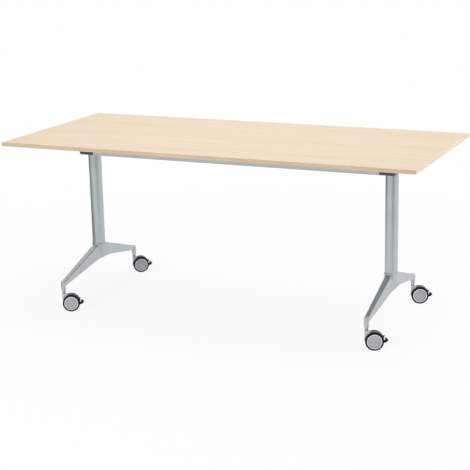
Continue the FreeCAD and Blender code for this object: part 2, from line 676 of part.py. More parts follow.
def make_lock_lever():
    body = new_body("lock_lever")
    ring = sketch_on(body, "LeverRing", "YZ_Plane")
    circle(ring, "0", "0", "shaft_diameter / 2 + hook_ring")
    pad(body, ring, "lever_width", symmetric=True)
    half, tip = "lever_plate / 2", "lever_tip_radius"
    paddle = outline(
        sketch_on(body, "LeverPaddle", "YZ_Plane"),
        [("0", "-" + half), ("0", half), ("-lever_length + 4 * " + tip, half), ("-lever_length", tip),
         ("-lever_length", "-" + tip), ("-lever_length + 4 * " + tip, "-" + half)],
        {3: ("left", "centre_x", "-lever_length")},
    )
    pad(body, paddle, "lever_width", symmetric=True)
    bore = circle(sketch_on(body, "LeverBore", "YZ_Plane"), "0", "0", "shaft_diameter / 2 + hook_fit")
    pocket(body, bore, symmetric=True)
    return place(body, x="-lever_place", y="-shaft_reach", z=SHAFT_HEIGHT,
                 axis=(1, 0, 0), angle="lever_droop")


# Castors, each built at its stem with the trail along +X and then turned to its heading
def castor_place(item, name, reach="0", lift="0"):
    """Puts a piece at a distance along its castor's trail."""
    x_sign, y_sign = CASTORS[name]
    heading = name + "_heading"
    x = "%s + (%s) * cos(%s)" % (signed(x_sign, COLUMN_PLACE), reach, heading)
    y = "%s + (%s) * sin(%s)" % (signed(y_sign, "castor_spread / 2"), reach, heading)
    return place(item, x=x, y=y, z=lift, angle=heading)


def make_castor_stems():
    stems = []
    for name, (x_sign, y_sign) in CASTORS.items():
        body = new_body(name + "_stem")
        radius, collar = "stem_diameter / 2", "stem_collar_diameter / 2"
        collar_foot = "neck_top + swivel_gap"
        profile = outline(
            sketch_on(body, name + "_stem_profile", "XZ_Plane"),
            [("0", STEM_FOOT), (radius, STEM_FOOT), (radius, collar_foot), (collar, collar_foot),
             (collar, "socket_bottom"), (radius, "socket_bottom"), (radius, STEM_TOP), ("0", STEM_TOP)],
        )
        revolve(body, profile)
        stems.append(place(body, x=signed(x_sign, COLUMN_PLACE),
                           y=signed(y_sign, "castor_spread / 2")))
    return group("castor_stems", stems)


def make_housing(name):
    """Neck on the stem, a web between the wheels and a hood over it, slotted at the back for the pedal."""
    label = name + "_castor_housing"
    body = new_body(label)
    neck, radius, hood = "neck_diameter / 2", HOUSING_RADIUS, HOOD_RADIUS
    drop = "(%s - housing_floor_gap)" % WHEEL_RADIUS
    chord = "sqrt(%s ^ 2 - %s ^ 2)" % (radius, drop)
    saddle = "(%s / 3)" % WHEEL_RADIUS
    saddle_height = "(%s + sqrt(%s ^ 2 - %s ^ 2))" % (WHEEL_RADIUS, hood, saddle)
    web = outline(
        sketch_on(body, label + "_web", "XZ_Plane"),
        [("-" + neck, "neck_foot_height"), ("castor_trail - " + radius, WHEEL_RADIUS),
         ("castor_trail - " + chord, "housing_floor_gap"), ("castor_trail + " + chord, "housing_floor_gap"),
         ("castor_trail + " + radius, WHEEL_RADIUS), ("castor_trail + " + hood, WHEEL_RADIUS),
         ("castor_trail - " + saddle, saddle_height),
         (neck, "neck_top - 2 * stem_fit"), ("-" + neck, "neck_top - 2 * stem_fit")],
        {1: ("left", "radius", radius), 3: ("left", "radius", radius), 5: ("left", "radius", hood)},
    )
    pad(body, web, "housing_width", symmetric=True)
    tube = circle(sketch_on(body, label + "_neck", "XY_Plane", lift="neck_foot_height"), "0", "0", neck)
    pad(body, tube, "neck_top - neck_foot_height")
    bore = circle(sketch_on(body, label + "_stem_bore", "XY_Plane", lift="neck_top"), "0", "0",
                  "stem_diameter / 2 + swivel_fit")
    pocket(body, bore, "neck_bore_depth")
    holes = sketch_on(body, label + "_pin_holes", "XZ_Plane")
    circle(holes, "castor_trail", WHEEL_RADIUS, "axle_diameter / 2 + stem_fit")
    circle(holes, "castor_trail + pedal_pivot_reach", "%s + pedal_pivot_rise" % WHEEL_RADIUS,
           "pedal_pin_diameter / 2 + pin_fit")
    pocket(body, holes, symmetric=True)
    slot_start = "castor_trail + pedal_pivot_reach - pedal_hub_radius - pedal_slot_depth"
    middle = "%s + pedal_pivot_rise" % WHEEL_RADIUS
    slot = rectangle(sketch_on(body, label + "_slot", "XZ_Plane"),
                     slot_start, "castor_trail + %s + hood_rise" % HOOD_RADIUS,
                     "%s - pedal_slot_height / 2" % middle, "%s + pedal_slot_height / 2" % middle)
    pocket(body, slot, "pedal_width + 2 * pedal_slot_gap", symmetric=True)
    return castor_place(body, name)


def wheel_body(label, corners, name, way):
    """Turned piece of a wheel. Its profile runs outwards along +Y, and the near wheel's is turned about."""
    body = new_body(label)
    profile = outline(sketch_on(body, label + "_profile", "XY_Plane"),
                      [(radius, signed(way, along)) for radius, along in corners])
    revolve(body, profile)
    return castor_place(body, name, reach="castor_trail", lift=WHEEL_RADIUS)


def make_axle(name):
    half, radius = "(%s + wheel_width - ring_depth - axle_end_gap)" % WHEEL_FACE, "axle_diameter / 2"
    profile = [("0", "-" + half), (radius, "-" + half), (radius, half), ("0", half)]
    wheel_body(name + "_axle", profile, name, 1)


def make_wheel(name, which, way):
    inner, outer = WHEEL_FACE, "(%s + wheel_width)" % WHEEL_FACE
    bore, rim = "axle_diameter / 2 + axle_fit", "rim_diameter / 2"
    floor = "(%s - ring_depth)" % outer
    ring_foot = "(rim_diameter / 2 - ring_width)"
    prefix = "%s_%s" % (name, which)
    wheel_body(
        prefix + "_wheel",
        [(bore, inner), (rim, inner), (rim, "%s - ring_radius" % outer), ("%s - ring_radius" % rim, outer),
         ("%s + ring_radius" % ring_foot, outer), (ring_foot, "%s - ring_radius" % outer), (ring_foot, floor),
         (bore, floor)], name, way,
    )
    tyre_in, tyre_out = "(%s + tyre_inset)" % inner, "(%s - tyre_inset)" % outer
    seat, tread = "(%s + tyre_seat)" % rim, WHEEL_RADIUS
    bevel = "(%s - tyre_bevel)" % tread
    wheel_body(
        prefix + "_tyre",
        [(seat, tyre_in), ("%s - tyre_radius" % tread, tyre_in), (bevel, "%s + tyre_bevel" % tyre_in),
         (tread, "%s + tyre_radius" % tyre_in), (tread, "%s - tyre_radius" % tyre_out),
         (bevel, "%s - tyre_bevel" % tyre_out), ("%s - tyre_radius" % tread, tyre_out), (seat, tyre_out)],
        name, way,
    )
    edge, face = "(%s - cap_fit)" % ring_foot, "(%s + cap_thickness)" % floor
    wheel_body(
        prefix + "_cap",
        [("0", floor), (edge, floor), (edge, "%s - cap_crown" % face), ("cap_flat_diameter / 2", face),
         ("0", face)],
        name, way,
    )


def pedal_points(shares):
    return [("%s * pedal_reach" % along, "%s * pedal_reach" % up) for along, up in shares]


def make_pedal(name):
    """Rocker with a hooked toe behind the wheels and a smaller toe above it."""
    label = name + "_brake_pedal"
    body = new_body(label)
    hub = circle(sketch_on(body, label + "_hub", "XZ_Plane"), "0", "0", "pedal_hub_radius")
    pad(body, hub, "pedal_width", symmetric=True)
    pin = circle(sketch_on(body, label + "_pin", "XZ_Plane"), "0", "0", "pedal_pin_diameter / 2")
    pad(body, pin, "housing_width", symmetric=True)
    shares = [(0, -0.18), (0.36, -0.5), (0.74, -0.36), (1.06, 0), (0.7, 0.3), (0.56, 0.22), (0.6, 0.02),
              (0.48, -0.11), (0.36, -0.14), (0.22, 0.06), (0.52, 0.62), (0.34, 0.7), (-0.08, 0.17)]
    toe = outline(sketch_on(body, label + "_toe", "XZ_Plane"), pedal_points(shares))
    pad(body, toe, "pedal_width", symmetric=True)
    tread = outline(sketch_on(body, label + "_tread", "XZ_Plane"), pedal_points(shares[2:7]))
    pad(body, tread, "pedal_tread_width", symmetric=True)
    return castor_place(body, name, reach="castor_trail + pedal_pivot_reach",
                        lift="%s + pedal_pivot_rise" % WHEEL_RADIUS)


make_board()
make_band("edge_band_front", "YZ_Plane", -1, "top_depth", "top_length")
make_band("edge_band_back", "YZ_Plane", 1, "top_depth", "top_length")
make_band("edge_band_left", "XZ_Plane", -1, "top_length", "top_depth - 2 * band_thickness")
make_band("edge_band_right", "XZ_Plane", 1, "top_length", "top_depth - 2 * band_thickness")
for side_name, side_sign in SIDES.items():
    make_foot(side_name + "_foot", side_sign)
    make_column(side_name + "_column", side_sign)
    make_head(side_name + "_head", side_sign)
    make_bracket(side_name + "_tilt_bracket", side_sign)
make_column_plugs()
make_column_bolts()
make_beam()
make_beam_screws()
make_tilt_pins()
make_bracket_screws()
make_lock_shaft()
make_lock_hooks()
make_lock_catches()
make_lock_lever()
make_castor_stems()
for castor_name in CASTORS:
    make_housing(castor_name)
    make_axle(castor_name)
    make_pedal(castor_name)
    make_wheel(castor_name, "near", -1)
    make_wheel(castor_name, "far", 1)
doc.recompute()

# Every object has to be sound before anything is written
NODES = (
    ["tabletop_board", "edge_band_front", "edge_band_back", "edge_band_left", "edge_band_right",
     "column_plugs", "column_bolts", "cross_beam", "beam_screws", "tilt_pins", "bracket_screws",
     "lock_shaft", "lock_hooks", "lock_catches", "lock_lever", "castor_stems"]
    + [side + piece for side in SIDES for piece in ("_foot", "_column", "_head", "_tilt_bracket")]
    + [castor + piece for castor in CASTORS for piece in
       ("_castor_housing", "_axle", "_brake_pedal", "_near_wheel", "_near_tyre", "_near_cap",
        "_far_wheel", "_far_tyre", "_far_cap")]
)
for item in doc.Objects:
    if "Invalid" in item.State or "Error" in item.State:
        raise RuntimeError("%s failed to build" % item.Label)
    if item.TypeId == "PartDesign::Pocket" and item.Shape.Volume > item.BaseFeature.Shape.Volume - 1:
        raise RuntimeError("%s cuts nothing" % item.Label)

os.makedirs("parts", exist_ok=True)
for node in NODES:
    shape = doc.getObjectsByLabel(node)[0].Shape
    if shape.isNull() or not shape.isValid():
        raise RuntimeError("%s has no sound shape" % node)
    shape.exportStep(os.path.join("parts", node + ".step"))
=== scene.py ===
"""Looks of the mobile table: materials, small fittings, studio and camera."""
import json
import math

import bmesh
import bpy
from mathutils import Matrix, Vector


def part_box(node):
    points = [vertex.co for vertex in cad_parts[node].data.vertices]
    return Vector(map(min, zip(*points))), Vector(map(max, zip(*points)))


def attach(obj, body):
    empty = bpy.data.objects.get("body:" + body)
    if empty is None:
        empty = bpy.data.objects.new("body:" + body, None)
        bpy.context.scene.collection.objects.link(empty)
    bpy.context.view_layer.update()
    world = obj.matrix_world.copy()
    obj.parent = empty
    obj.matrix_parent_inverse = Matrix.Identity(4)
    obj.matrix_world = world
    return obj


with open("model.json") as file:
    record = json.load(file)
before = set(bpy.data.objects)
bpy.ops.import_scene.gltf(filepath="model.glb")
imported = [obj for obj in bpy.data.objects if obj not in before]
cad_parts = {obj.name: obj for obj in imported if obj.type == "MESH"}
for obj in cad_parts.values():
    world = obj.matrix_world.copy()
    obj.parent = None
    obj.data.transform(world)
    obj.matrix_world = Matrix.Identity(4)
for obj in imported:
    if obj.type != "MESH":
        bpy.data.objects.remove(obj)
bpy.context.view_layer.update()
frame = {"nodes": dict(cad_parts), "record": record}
nodes = frame["nodes"]

CASTORS = ("front_left", "front_right", "back_left", "back_right")
SIDES = ("left", "right")
WHEELS = ("near", "far")
# In metres
RELIEF = 0.0002
# Reach from the stem where the housing's light neck gives way to painted shade, and the blend between them.
NECK_REACH, NECK_BLEND = 0.0145, 0.0006
# Width of the painted highlight band inside each wheel's rim, and its blend.
RIM_HIGHLIGHT_WIDTH, RIM_HIGHLIGHT_BLEND = 0.003, 0.0004


# Materials
def new_material(name):
    """Empty material with a principled shader. Returns the material, its tree and the shader."""
    material = bpy.data.materials.new(name)
    material.use_nodes = True
    tree = material.node_tree
    tree.nodes.clear()
    output = tree.nodes.new("ShaderNodeOutputMaterial")
    shader = tree.nodes.new("ShaderNodeBsdfPrincipled")
    tree.links.new(shader.outputs["BSDF"], output.inputs["Surface"])
    return material, tree, shader


def srgb(red, green, blue):
    """Colour written as 0 to 255 in sRGB, as the linear colour that the shader takes."""
    def linear(value):
        value /= 255
        return value / 12.92 if value <= 0.04045 else ((value + 0.055) / 1.055) ** 2.4
    return (linear(red), linear(green), linear(blue), 1)


def coordinates(tree, scale=(1, 1, 1)):
    """Place on the object, stretched by scale."""
    place = tree.nodes.new("ShaderNodeTexCoord")
    mapping = tree.nodes.new("ShaderNodeMapping")
    mapping.inputs["Scale"].default_value = scale
    tree.links.new(place.outputs["Object"], mapping.inputs["Vector"])
    return mapping.outputs["Vector"]


def noise(tree, vector, scale, detail, roughness, distortion=0):
    """Noise from 0 to 1 at a place."""
    made = tree.nodes.new("ShaderNodeTexNoise")
    made.inputs["Scale"].default_value = scale
    made.inputs["Detail"].default_value = detail
    made.inputs["Roughness"].default_value = roughness
    made.inputs["Distortion"].default_value = distortion
    tree.links.new(vector, made.inputs["Vector"])
    return made.outputs["Fac"]


def ramp(tree, value, stops):
    """Colour ramp with (place, colour) stops."""
    made = tree.nodes.new("ShaderNodeValToRGB")
    elements = made.color_ramp.elements
    while len(elements) < len(stops):
        elements.new(0.5)
    for element, (place, colour) in zip(elements, stops):
        element.position = place
        element.color = colour
    tree.links.new(value, made.inputs["Fac"])
    return made.outputs["Color"]


def mix(tree, factor, first, second, blend="MIX"):
    """Mix of two colours. Each input is a socket or a constant."""
    made = tree.nodes.new("ShaderNodeMix")
    made.data_type = "RGBA"
    made.blend_type = blend
    for socket_name, given in (("Factor", factor), ("A", first), ("B", second)):
        socket = made.inputs[socket_name]
        if hasattr(given, "is_linked"):
            tree.links.new(given, socket)
        else:
            socket.default_value = given
    return made.outputs["Result"]


def scaled(tree, value, low, high):
    """Value from 0..1 taken to low..high."""
    made = tree.nodes.new("ShaderNodeMapRange")
    made.inputs["To Min"].default_value = low
    made.inputs["To Max"].default_value = high
    tree.links.new(value, made.inputs["Value"])
    return made.outputs["Result"]


def below(tree, height):
    """1 where the object lies below a height, and 0 above it."""
    place = tree.nodes.new("ShaderNodeTexCoord")
    parts = tree.nodes.new("ShaderNodeSeparateXYZ")
    made = tree.nodes.new("ShaderNodeMath")
    made.operation = "LESS_THAN"
    made.inputs[1].default_value = height
    tree.links.new(place.outputs["Object"], parts.inputs[0])
    tree.links.new(parts.outputs["Z"], made.inputs[0])
    return made.outputs[0]


def bump(tree, shader, height, strength, distance=RELIEF):
    """Fine relief on a shader's surface."""
    made = tree.nodes.new("ShaderNodeBump")
    made.inputs["Strength"].default_value = strength
    made.inputs["Distance"].default_value = distance
    tree.links.new(height, made.inputs["Height"])
    tree.links.new(made.outputs["Normal"], shader.inputs["Normal"])


def wood(name, light, mid, dark, along, roughness, backing=None):
    """Fine-grained maple laminate with its grain along one axis.

    The backing, if one is given, is the height below which it shows, its colour and its shade.
    """
    material, tree, shader = new_material(name)
    drawn_out = 0.045

    def grain(fineness):
        scale = [fineness] * 3
        scale[along] *= drawn_out
        return coordinates(tree, scale)

    broad = noise(tree, grain(9), 0.55, 3, 0.5, 0.6)
    streaks = noise(tree, grain(70), 1, 5, 0.6, 0.25)
    fibres = noise(tree, grain(620), 1, 3, 0.7)
    colour = ramp(tree, broad, [(0.3, mid), (0.5, light), (0.72, mid)])
    veins = ramp(tree, streaks, [(0.38, dark), (0.56, mid), (0.75, light)])
    colour = mix(tree, 0.5, colour, veins)
    fleck = ramp(tree, fibres, [(0.3, (0.84, 0.82, 0.8, 1)), (0.55, (1, 1, 1, 1))])
    colour = mix(tree, 0.55, colour, fleck, "MULTIPLY")
    if backing:
        height, sheet, shade = backing
        cloud = noise(tree, coordinates(tree), 25, 4, 0.6)
        colour = mix(tree, below(tree, height), colour, ramp(tree, cloud, [(0.3, shade), (0.7, sheet)]))
    tree.links.new(colour, shader.inputs["Base Color"])
    tree.links.new(scaled(tree, streaks, roughness - 0.06, roughness + 0.08), shader.inputs["Roughness"])
    shader.inputs["Specular IOR Level"].default_value = 0.25
    bump(tree, shader, fibres, 0.08, 0.0003)
    return material


def coated(name, colour, shade, metallic, roughness, grain=900, depth=0.12, specular=0.5):
    """Coated or moulded surface: fine grain in the relief, slow change in tone and gloss."""
    material, tree, shader = new_material(name)
    vector = coordinates(tree)
    cloud = noise(tree, vector, 7, 4, 0.6)
    fine = noise(tree, vector, grain, 2, 0.6)
    speck = noise(tree, vector, grain * 0.45, 3, 0.7)
    base = ramp(tree, cloud, [(0.3, shade), (0.7, colour)])
    base = mix(tree, 0.18, base, ramp(tree, speck, [(0.35, shade), (0.65, colour)]))
    tree.links.new(base, shader.inputs["Base Color"])
    tree.links.new(scaled(tree, cloud, roughness - 0.05, roughness + 0.07), shader.inputs["Roughness"])
    shader.inputs["Metallic"].default_value = metallic
    shader.inputs["Specular IOR Level"].default_value = specular
    bump(tree, shader, fine, depth)
    return material


def tyre(name):
    """Soft black tread, dusted grey where it rolls."""
    material, tree, shader = new_material(name)
    vector = coordinates(tree)
    cloud = noise(tree, vector, 45, 5, 0.65)
    fine = noise(tree, vector, 1400, 2, 0.6)
    base = ramp(tree, cloud, [(0.35, srgb(9, 10, 11)), (0.75, srgb(22, 23, 25))])
    tree.links.new(base, shader.inputs["Base Color"])
    tree.links.new(scaled(tree, cloud, 0.52, 0.7), shader.inputs["Roughness"])
    shader.inputs["Specular IOR Level"].default_value = 0.15
    bump(tree, shader, fine, 0.15)
    return material


def plated(name):
    """Zinc-plated steel with faint drawn lines."""
    material, tree, shader = new_material(name)
    lines = noise(tree, coordinates(tree, (30, 900, 900)), 1, 3, 0.6)
    cloud = noise(tree, coordinates(tree), 60, 4, 0.6)
    base = ramp(tree, cloud, [(0.3, srgb(176, 178, 180)), (0.7, srgb(204, 205, 204))])
    tree.links.new(base, shader.inputs["Base Color"])
    tree.links.new(scaled(tree, lines, 0.24, 0.42), shader.inputs["Roughness"])
    shader.inputs["Metallic"].default_value = 1
    bump(tree, shader, lines, 0.06)
    return material


def zoned(name, measure, edge, blend, first, second, roughness):
    """Surface of two colours, each given as a pair, that meet where a measure of the place reaches edge. It
    paints shade on the castor housings and a highlight on the wheel rims.
    """
    material, tree, shader = new_material(name)
    vector = coordinates(tree)
    zone = tree.nodes.new("ShaderNodeMapRange")
    zone.inputs["From Min"].default_value = edge - blend
    zone.inputs["From Max"].default_value = edge + blend
    tree.links.new(measure(tree, vector), zone.inputs["Value"])
    cloud = noise(tree, vector, 40, 4, 0.6)
    fine = noise(tree, vector, 1100, 2, 0.6)
    low = ramp(tree, cloud, [(0.3, first[0]), (0.7, first[1])])
    high = ramp(tree, cloud, [(0.3, second[0]), (0.7, second[1])])
    tree.links.new(mix(tree, zone.outputs["Result"], low, high), shader.inputs["Base Color"])
    tree.links.new(scaled(tree, cloud, roughness - 0.05, roughness + 0.07), shader.inputs["Roughness"])
    bump(tree, shader, fine, 0.1)
    return material


def vector_step(tree, operation, first, second=None):
    """One vector operation. The second vector is a constant."""
    made = tree.nodes.new("ShaderNodeVectorMath")
    made.operation = operation
    tree.links.new(first, made.inputs[0])
    if second is not None:
        made.inputs[1].default_value = second
    return made


def distance_along(axis, start):
    """Measure of how far a place lies along an axis from a start."""
    def measure(tree, vector):
        away = vector_step(tree, "SUBTRACT", vector, start)
        return vector_step(tree, "DOT_PRODUCT", away.outputs["Vector"], axis).outputs["Value"]
    return measure


def distance_from(axis, start):
    """Measure of how far a place lies from a line through start."""
    def measure(tree, vector):
        away = vector_step(tree, "SUBTRACT", vector, start)
        turned = vector_step(tree, "CROSS_PRODUCT", away.outputs["Vector"], axis)
        return vector_step(tree, "LENGTH", turned.outputs["Vector"]).outputs["Value"]
    return measure


backing_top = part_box("tabletop_board")[0][2] + 0.0005
maple = wood("maple_top", srgb(240, 221, 195), srgb(231, 209, 182), srgb(219, 193, 162), 0, 0.42,
             (backing_top, srgb(150, 151, 152), srgb(140, 141, 143)))
# The front and back edge bands are painted darker, and the end bands lighter, than the top: painted shade on
# the long edges and painted light on the short ones.
band_long_painted_shade = wood("maple_band_long_painted_shade", srgb(219, 197, 169), srgb(207, 183, 153), srgb(191, 165, 134), 0, 0.45)
band_short_painted_lit = wood("maple_band_short_painted_lit", srgb(244, 227, 203), srgb(236, 216, 189), srgb(224, 200, 170), 1, 0.45)
silver = coated("silver_coat", srgb(190, 195, 196), srgb(180, 186, 188), 0.85, 0.34)
charcoal = coated("charcoal_casting", srgb(86, 88, 91), srgb(74, 76, 79), 0.1, 0.45, 600, 0.25)
mid_grey = coated("mid_grey_plastic", srgb(178, 180, 183), srgb(168, 170, 174), 0.15, 0.36, 1100)
black = coated("black_plastic", srgb(17, 17, 18), srgb(11, 11, 12), 0, 0.42, 900, 0.15, 0.15)
# Painted shade: the zinc castor stems are coloured dark grey so that the collar in the gap between socket and
# neck reads as shadow.
stem_steel_painted_shade = coated("stem_steel_painted_shade", srgb(74, 76, 78), srgb(60, 62, 64), 0.6, 0.4, 900, 0.1)
rubber = tyre("black_tread")
zinc = plated("zinc_steel")

# Which piece wears which material
joint_places = {joint["name"]: Vector(joint["pos_m"]) for joint in frame["record"]["behaviour"]["joints"]}


def trail_of(castor):
    """Level direction from a castor's stem to its axle."""
    away = joint_places[castor + "_near_wheel_roll"] - joint_places[castor + "_swivel"]
    away.z = 0
    return away.normalized()


def dress(names, material):
    """Gives CAD pieces a material."""
    for name in names:
        mesh = nodes[name].data
        mesh.materials.clear()
        mesh.materials.append(material)


dress(["tabletop_board"], maple)
dress(["edge_band_front", "edge_band_back"], band_long_painted_shade)
dress(["edge_band_left", "edge_band_right"], band_short_painted_lit)
dress([side + piece for side in SIDES for piece in ("_foot", "_column")] + ["cross_beam"], silver)
dress([side + piece for side in SIDES for piece in ("_head", "_tilt_bracket")], charcoal)
dress(["column_plugs", "column_bolts", "beam_screws", "tilt_pins", "bracket_screws", "lock_shaft",
       "lock_hooks", "lock_catches"], zinc)
# The stems wear the dark grey of painted shade, not their zinc.
dress(["castor_stems"], stem_steel_painted_shade)
dress(["lock_lever"], black)
for castor in CASTORS:
    heading = trail_of(castor)
    axle = joint_places[castor + "_near_wheel_roll"]
    axle_way = Vector((heading.y, -heading.x, 0))
    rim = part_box(castor + "_near_wheel")[1][2] - axle.z
    # The housing is light grey up to the neck's reach from the stem and dark grey beyond it: the dark part is
    # painted shade on the hood between the wheels.
    housing_grey_and_painted_shade = zoned(
        castor + "_housing_grey_and_painted_shade", distance_along(heading, joint_places[castor + "_swivel"]),
        NECK_REACH, NECK_BLEND,
        (srgb(196, 198, 200), srgb(205, 207, 208)), (srgb(106, 108, 111), srgb(116, 118, 121)), 0.42)
    # The wheel is mid grey with a bright band just inside its rim: that band is a painted highlight.
    wheel_grey_painted_rim_highlight = zoned(
        castor + "_wheel_grey_painted_rim_highlight", distance_from(axle_way, axle), rim - RIM_HIGHLIGHT_WIDTH, RIM_HIGHLIGHT_BLEND,
        (srgb(168, 170, 174), srgb(178, 180, 183)), (srgb(232, 233, 235), srgb(240, 241, 242)), 0.32)
    dress([castor + "_castor_housing"], housing_grey_and_painted_shade)
    dress([castor + "_axle"], zinc)
    dress([castor + "_brake_pedal"], black)
    for wheel in WHEELS:
        prefix = "%s_%s" % (castor, wheel)
        dress([prefix + "_wheel"], wheel_grey_painted_rim_highlight)
        dress([prefix + "_tyre"], rubber)
        dress([prefix + "_cap"], mid_grey)


# Small fittings: drive recesses, weld beads and grip ribs
def solids_of(node):
    """Boxes of the separate solids in a node, as pairs of lowest and highest corners."""
    shell = bmesh.new()
    shell.from_mesh(nodes[node].data)
    bmesh.ops.remove_doubles(shell, verts=shell.verts, dist=1e-6)
    waiting, boxes = set(shell.verts), []
    while waiting:
        stack, points = [waiting.pop()], []
        while stack:
            vertex = stack.pop()
            points.append(vertex.co.copy())
            for edge in vertex.link_edges:
                other = edge.other_vert(vertex)
                if other in waiting:
                    waiting.remove(other)
                    stack.append(other)
        boxes.append(tuple(Vector(pick(point[axis] for point in points) for axis in range(3))
                           for pick in (min, max)))
    shell.free()
    return sorted(boxes, key=lambda pair: tuple(pair[0]))


def add_piece(name, shape, material, body):
    """Turns a finished bmesh into a piece that rides on a body."""
    bmesh.ops.recalc_face_normals(shape, faces=shape.faces)
    mesh = bpy.data.meshes.new(name)
    shape.to_mesh(mesh)
    shape.free()
    mesh.materials.append(material)
    piece = bpy.data.objects.new(name, mesh)
    bpy.context.scene.collection.objects.link(piece)
    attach(piece, body)


def turned_to(axis, place):
    """Matrix that takes +Z to an axis and the origin to a place."""
    turn = Vector((0, 0, 1)).rotation_difference(Vector(axis))
    return Matrix.Translation(place) @ turn.to_matrix().to_4x4()


def hexagon(size):
    """Distance from the middle to a hexagon's edge, by angle; size is across the flats."""
    def reach(angle):
        return size / 2 / math.cos((angle + math.pi / 6) % (math.pi / 3) - math.pi / 6)
    return reach


def cross(length, width):
    """Distance from the middle to a cross's edge, by angle; length and width are of one bar."""
    def reach(angle):
        turn = abs((angle + math.pi / 4) % (math.pi / 2) - math.pi / 4)
        if math.tan(turn) <= width / length:
            return length / 2 / math.cos(turn)
        return width / 2 / math.sin(turn)
    return reach


def add_loops(shape, loops):
    """Skin through closed loops of points, with a flat end at each."""
    rows = [[shape.verts.new(point) for point in loop] for loop in loops]
    for first, second in zip(rows, rows[1:]):
        for step in range(len(first)):
            following = (step + 1) % len(first)
            shape.faces.new((first[step], first[following], second[following], second[step]))
    shape.faces.new(rows[0])
    shape.faces.new(rows[-1])


def add_drive_face(shape, matrix, radius, reach, height, sides=72):
    """Crown of a screw head with a drive recess sunk into it."""
    crown, floor, edge = 0.12 * radius, 0.15 * height, 0.04 * radius
    angles = [2 * math.pi * step / sides for step in range(sides)]
    rings = [(lambda angle: radius, 0), (lambda angle: radius, 0.4 * height),
             (lambda angle: radius - crown, height), (lambda angle: reach(angle) + edge, height),
             (reach, height - edge), (lambda angle: 0.92 * reach(angle), floor)]
    add_loops(shape, [[matrix @ Vector((away(angle) * math.cos(angle), away(angle) * math.sin(angle), rise))
                       for angle in angles] for away, rise in rings])


def add_rib(shape, start, end, normal, width, height, steps=6):
    """Half-round rib from start to end that stands on a face with the given normal."""
    along = (end - start).normalized()
    side = along.cross(normal).normalized()
    arc = [math.pi * step / steps for step in range(steps + 1)]
    cap = along * width / 2
    loops = []
    for place, share in ((start, 0.5), (start + cap, 1), (end - cap, 1), (end, 0.5)):
        loops.append([place + side * (math.cos(angle) * width / 2 * share)
                      + normal * (math.sin(angle) * height * share) for angle in arc])
    add_loops(shape, loops)


def make_drive_faces():
    """Cross recesses on the bracket screws, hex sockets on the lower column bolts and the beam screws."""
    cap = 0.0009

    def face_down(shape, low, high, reach):
        middle = (low + high) / 2
        add_drive_face(shape, turned_to((0, 0, -1), (middle.x, middle.y, low.z)), (high.x - low.x) / 2,
                       reach, cap)

    screws = bmesh.new()
    for low, high in solids_of("bracket_screws"):
        face_down(screws, low, high, cross(0.0052, 0.0013))
    add_piece("bracket_screw_recesses", screws, zinc, "tabletop")
    bolts = bmesh.new()
    foot_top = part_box("left_foot")[1][2]
    for low, high in solids_of("column_bolts"):
        if low.z < foot_top:
            face_down(bolts, low, high, hexagon(0.008))
    add_piece("column_bolt_sockets", bolts, zinc, "frame")
    caps = bmesh.new()
    for low, high in solids_of("beam_screws"):
        middle = (low + high) / 2
        inward = -math.copysign(1, middle.x)
        face = high.x if inward > 0 else low.x
        add_drive_face(caps, turned_to((inward, 0, 0), (face, middle.y, middle.z)), (high.z - low.z) / 2,
                       hexagon(0.005), cap)
    add_piece("beam_screw_sockets", caps, zinc, "frame")


def make_weld_beads():
    """Bead in the corner between the beam's back wall and each of its flanges."""
    low, high = (Vector(corner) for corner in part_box("cross_beam"))
    flange, tube_depth, radius, margin, ripples, sides = 0.005, 0.032, 0.00132, 0.001, 22, 10
    angles = [2 * math.pi * step / sides for step in range(sides)]
    last = 4 * ripples
    for side, face in (("left", low.x + flange), ("right", high.x - flange)):
        corner = Vector((face, low.y + tube_depth, 0))
        shape, loops = bmesh.new(), []
        for step in range(last + 1):
            share = step / last
            swell = 0.86 + 0.14 * abs(math.sin(math.pi * ripples * share))
            ends = min(1, 12 * share + 0.35, 12 * (1 - share) + 0.35)
            reach = radius * ends * swell
            height = low.z + margin + (high.z - low.z - 2 * margin) * share
            loops.append([corner + Vector((reach * math.cos(angle), reach * math.sin(angle), height))
                          for angle in angles])
        add_loops(shape, loops)
        add_piece(side + "_flange_weld", shape, silver, "frame")


def make_pedal_ribs():
    """Grip ribs on the pressing face of each brake pedal, from its tip to its horn."""
    count, inset, width, height = 3, 0.0012, 0.0014, 0.0006
    for castor in CASTORS:
        heading = trail_of(castor)
        across = Vector((-heading.y, heading.x, 0))
        pivot = joint_places[castor + "_pedal_press"]
        points = [vertex.co - pivot for vertex in nodes[castor + "_brake_pedal"].data.vertices]
        half = max(point.dot(across) for point in points)
        tread = [point for point in points if point.dot(across) > half - 1e-4]
        tip = max(tread, key=lambda point: point.dot(heading))
        horn = max(tread, key=lambda point: point.z)
        slope = horn - tip
        normal = across.cross(slope).normalized()
        if normal.z < 0:
            normal.negate()
        shape = bmesh.new()
        for step in range(1, count + 1):
            place = pivot + tip + slope * (step / (count + 1))
            add_rib(shape, place - across * inset, place - across * (2 * half - inset), normal, width, height)
        add_piece(castor + "_pedal_ribs", shape, black, castor + "_pedal")


